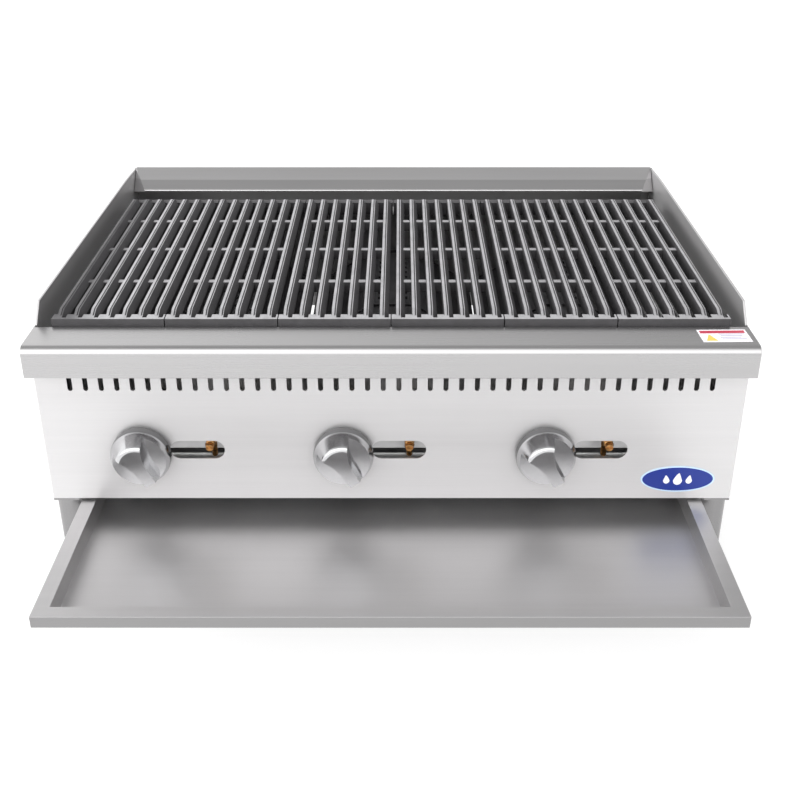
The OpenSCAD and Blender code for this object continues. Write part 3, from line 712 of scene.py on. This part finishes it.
def build_badge():
    low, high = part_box("badge")
    centre = (low + high) / 2
    half_w, half_h = (high.x - low.x) / 2, (high.z - low.z) / 2
    shade = colours()
    body, slot = BODY_OF["badge"], SLOT_OF["badge"]
    rim = bmesh.new()
    plate(rim, oval(centre, half_w, half_h), low.y + 0.3 * MM, high.y)
    ease(rim, sharp_edges(rim, 60), 0.25 * MM, 2)
    settle("badge_rim", rim, coated("badge_rim", shade.pale), body, ["badge"], slot)
    field = bmesh.new()
    plate(field, oval(centre, half_w - 2.2 * MM, half_h - 2.0 * MM), low.y, high.y - 0.4 * MM)
    ease(field, sharp_edges(field, 60), 0.25 * MM, 2)
    enamel = coated("badge_enamel", shade.enamel, 0.30, 0.04, 0.15)
    settle("badge_field", field, enamel, body, slot=slot)
    marks = bmesh.new()
    for dx, scale, lean in ((-15, 8.5, -0.12), (0, 12.0, 0.10), (15, 8.5, 0.12)):
        spot = centre + Vector((dx * MM, 0, -2 * MM))
        plate(marks, flame(spot, scale * MM, lean), low.y - 0.25 * MM, low.y + 0.1 * MM)
    settle("badge_flames", marks, coated("badge_white", (0.88, 0.90, 0.93, 1)), body, slot=slot)


def flat(bm, outline, low, high):
    """A flat film from an X-Y outline, between two heights."""
    loft(bm, [[(x, y, low) for x, y in outline], [(x, y, high) for x, y in outline]])


def build_label():
    """A plain sticker on the rail: a red band, an amber mark and grey dashes."""
    s, shade = sizes(), colours()
    low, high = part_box("front_rail")
    turned = Matrix.Rotation(math.radians(1.5), 2)
    middle = Vector((high.x - 38 * MM, low.y + 37 * MM))
    thick = 0.06 * MM

    def outline_of(*corners):
        return [middle + turned @ Vector((x * s.label_w, y * s.label_d)) for x, y in corners]

    def patch(x0, y0, x1, y1):
        return outline_of((x0, y0), (x1, y0), (x1, y1), (x0, y1))

    def film(name, outlines, paint, layer):
        bm = bmesh.new()
        for outline in outlines:
            flat(bm, outline, high.z + (layer - 1) * thick, high.z + layer * thick)
        settle(name, bm, coated(name, paint, 0.35, 0.03, 0.4), BODY_OF["front_rail"])

    film("label_paper", [patch(-0.5, -0.5, 0.5, 0.5)], shade.paper, 1)
    film("label_band", [patch(-0.46, 0.2, 0.46, 0.42)], shade.red, 2)
    film("label_mark", [outline_of((-0.42, -0.4), (-0.18, -0.4), (-0.30, 0.14))], shade.amber, 2)
    rows = [patch(-0.10 + 0.02 * (k % 2), 0.10 - 0.13 * k, 0.42 - 0.05 * (k % 3), 0.16 - 0.13 * k)
            for k in range(4)]
    film("label_lines", rows, shade.ink, 2)


# ---------- stage ----------

def light(name, spot, aim, size, power, spread=180):
    """A soft rectangular lamp that polished metal doesn't mirror."""
    lamp = bpy.data.lights.new(name, "AREA")
    lamp.shape, lamp.size, lamp.size_y = "RECTANGLE", size[0], size[1]
    lamp.energy, lamp.spread = power, math.radians(spread)
    holder = bpy.data.objects.new(name, lamp)
    holder.location = spot
    holder.rotation_euler = (Vector(aim) - Vector(spot)).to_track_quat("-Z", "Y").to_euler()
    holder.visible_glossy = False
    bpy.context.scene.collection.objects.link(holder)


def stage_piece(name, bm, finish):
    """A part of the studio, which is not part of the grill."""
    mesh = bpy.data.meshes.new(name)
    bm.to_mesh(mesh)
    bm.free()
    mesh.materials.append(finish.material)
    made = bpy.data.objects.new(name, mesh)
    bpy.context.scene.collection.objects.link(made)
    return made


def build_stage():
    """White floor and backdrop, studio sky, soft lights and the camera."""
    scene = bpy.context.scene
    floor_reach, backdrop_reach = 25.0, 24.0
    bm = bmesh.new()
    bmesh.ops.create_grid(bm, x_segments=8, y_segments=8, size=floor_reach)
    paint = Finish("floor_paint", Base_Color=(0.32, 0.32, 0.32, 1), Roughness=1.0)
    left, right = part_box("left_side_panel")[0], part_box("right_side_panel")[1]
    x, y = (paint.axis(paint.place(), name) for name in "XY")
    # Painted shadow: the floor glows less under the body, with soft borders.
    under = (x.ramp(left.x + 0.02, left.x + 0.12) * (1 - x.ramp(right.x - 0.12, right.x - 0.02))
             * y.ramp(left.y - 0.02, left.y + 0.10) * (1 - y.ramp(right.y - 0.02, right.y + 0.10)))
    paint.set(Emission_Color=paint.blend(under, WHITE, (0.15, 0.15, 0.15, 1)), Emission_Strength=0.74)
    stage_piece("floor", bm, paint)

    bm = bmesh.new()
    bmesh.ops.create_uvsphere(bm, u_segments=48, v_segments=24, radius=backdrop_reach)
    white = Finish("backdrop_white", Base_Color=(0, 0, 0, 1), Roughness=1.0, Emission_Strength=1.0)
    white.set(Emission_Color=WHITE, Specular_IOR_Level=0.0)
    backdrop = stage_piece("backdrop", bm, white)
    backdrop.visible_diffuse = backdrop.visible_glossy = backdrop.visible_shadow = False
    backdrop.visible_transmission = False

    world = bpy.data.worlds.new("studio")
    scene.world = world
    sky = Tree(world)
    way = sky.node("ShaderNodeTexCoord", output="Generated")
    rise = sky.axis(way, "Z")
    in_front = 1 - sky.axis(way, "Y").ramp(-0.75, -0.1)
    at_left = 1 - sky.axis(way, "X").ramp(-0.75, 0.5)
    not_overhead = 1 - rise.ramp(0.55, 0.98)
    glow = 0.50 + at_left * not_overhead * 0.95 + in_front * rise.ramp(-0.1, 0.5) * 1.7
    background = sky.tree.nodes["Background"]
    sky.join(background.inputs["Strength"], glow)
    sky.join(background.inputs["Color"], WHITE)

    aim = (0, cad_box[0].y + 0.55, 0.3)
    light("key", (-2.6, 0.25, 1.5), aim, (1.2, 1.2), 52)
    light("top", (-0.2, 0.2, 2.9), aim, (2.6, 1.6), 26)
    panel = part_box("control_panel")[0]
    behind_slots = (0, panel.y + 10 * MM, panel.z + 118 * MM)
    pipe = (0, panel.y + 85 * MM, panel.z + 44 * MM)
    light("match_light", behind_slots, pipe, (0.86, 0.006), 0.85, spread=44)

    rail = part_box("front_rail")
    camera = bpy.data.objects.new("camera", bpy.data.cameras.new("camera"))
    camera.data.lens, camera.data.sensor_width = 50.85, 36
    camera.data.clip_start, camera.data.clip_end = 0.05, 50
    camera.location = (0.0114, rail[0].y - 1.2561, rail[1].z + 0.5919)
    camera.rotation_euler = (math.radians(90 - 27.85), 0, 0)
    scene.collection.objects.link(camera)
    scene.camera = camera
    scene.view_settings.view_transform = "Standard"


# ---------- add-on ----------

STEPS = (
    ("cabinet", "Cabinet", "Round the edges of the panels and guards, and brush them", build_cabinet),
    ("rail", "Front rail", "Brush the bullnose rail", build_rail),
    ("firebox", "Firebox", "Finish the firebox walls, rests and runners", build_firebox),
    ("tray", "Drip tray", "Fold and brush the drip tray", build_tray),
    ("legs", "Legs and feet", "Finish the legs, the levelling feet and the screws", build_legs),
    ("gas_train", "Gas train", "Finish the pipe, valves, stems and pilots", build_gas_train),
    ("burners", "Burners", "Finish the burners, shutters and pilot tubes", build_burners),
    ("radiants", "Radiants", "Cast the radiants", build_radiants),
    ("grates", "Grates", "Cast the grates", build_grates),
    ("knobs", "Knobs", "Shape and polish the knobs", build_knobs),
    ("badge", "Badge", "Make the enamel badge", build_badge),
    ("label", "Label", "Make the label on the rail", build_label),
    ("stage", "Stage", "Make the floor, the lights and the camera", build_stage),
)


def operator(key, title, text, build):
    """An Operator class that runs one building step."""
    def execute(self, context):
        build()
        return {"FINISHED"}
    return type("CHARBROILER_OT_" + key, (bpy.types.Operator,), {
        "__doc__": text, "bl_idname": "charbroiler." + key, "bl_label": title, "execute": execute})


OPERATORS = [operator(*step) for step in STEPS]


class CHARBROILER_PT_panel(bpy.types.Panel):
    """Lists the building steps"""
    bl_label = "Charbroiler"
    bl_space_type = "VIEW_3D"
    bl_region_type = "UI"
    bl_category = "Charbroiler"

    def draw(self, context):
        for group in (context.scene.charbroiler_sizes, context.scene.charbroiler_colours):
            for name in group.__annotations__:
                self.layout.prop(group, name)
        for made in OPERATORS:
            self.layout.operator(made.bl_idname)


CLASSES = [CharbroilerSizes, CharbroilerColours, *OPERATORS, CHARBROILER_PT_panel]


def register():
    for made in CLASSES:
        bpy.utils.register_class(made)
    bpy.types.Scene.charbroiler_sizes = PointerProperty(type=CharbroilerSizes)
    bpy.types.Scene.charbroiler_colours = PointerProperty(type=CharbroilerColours)


def unregister():
    del bpy.types.Scene.charbroiler_sizes
    del bpy.types.Scene.charbroiler_colours
    for made in reversed(CLASSES):
        bpy.utils.unregister_class(made)


def main():
    register()
    for key, *_ in STEPS:
        getattr(bpy.ops.charbroiler, key)()


if __name__ == "__main__":
    main()
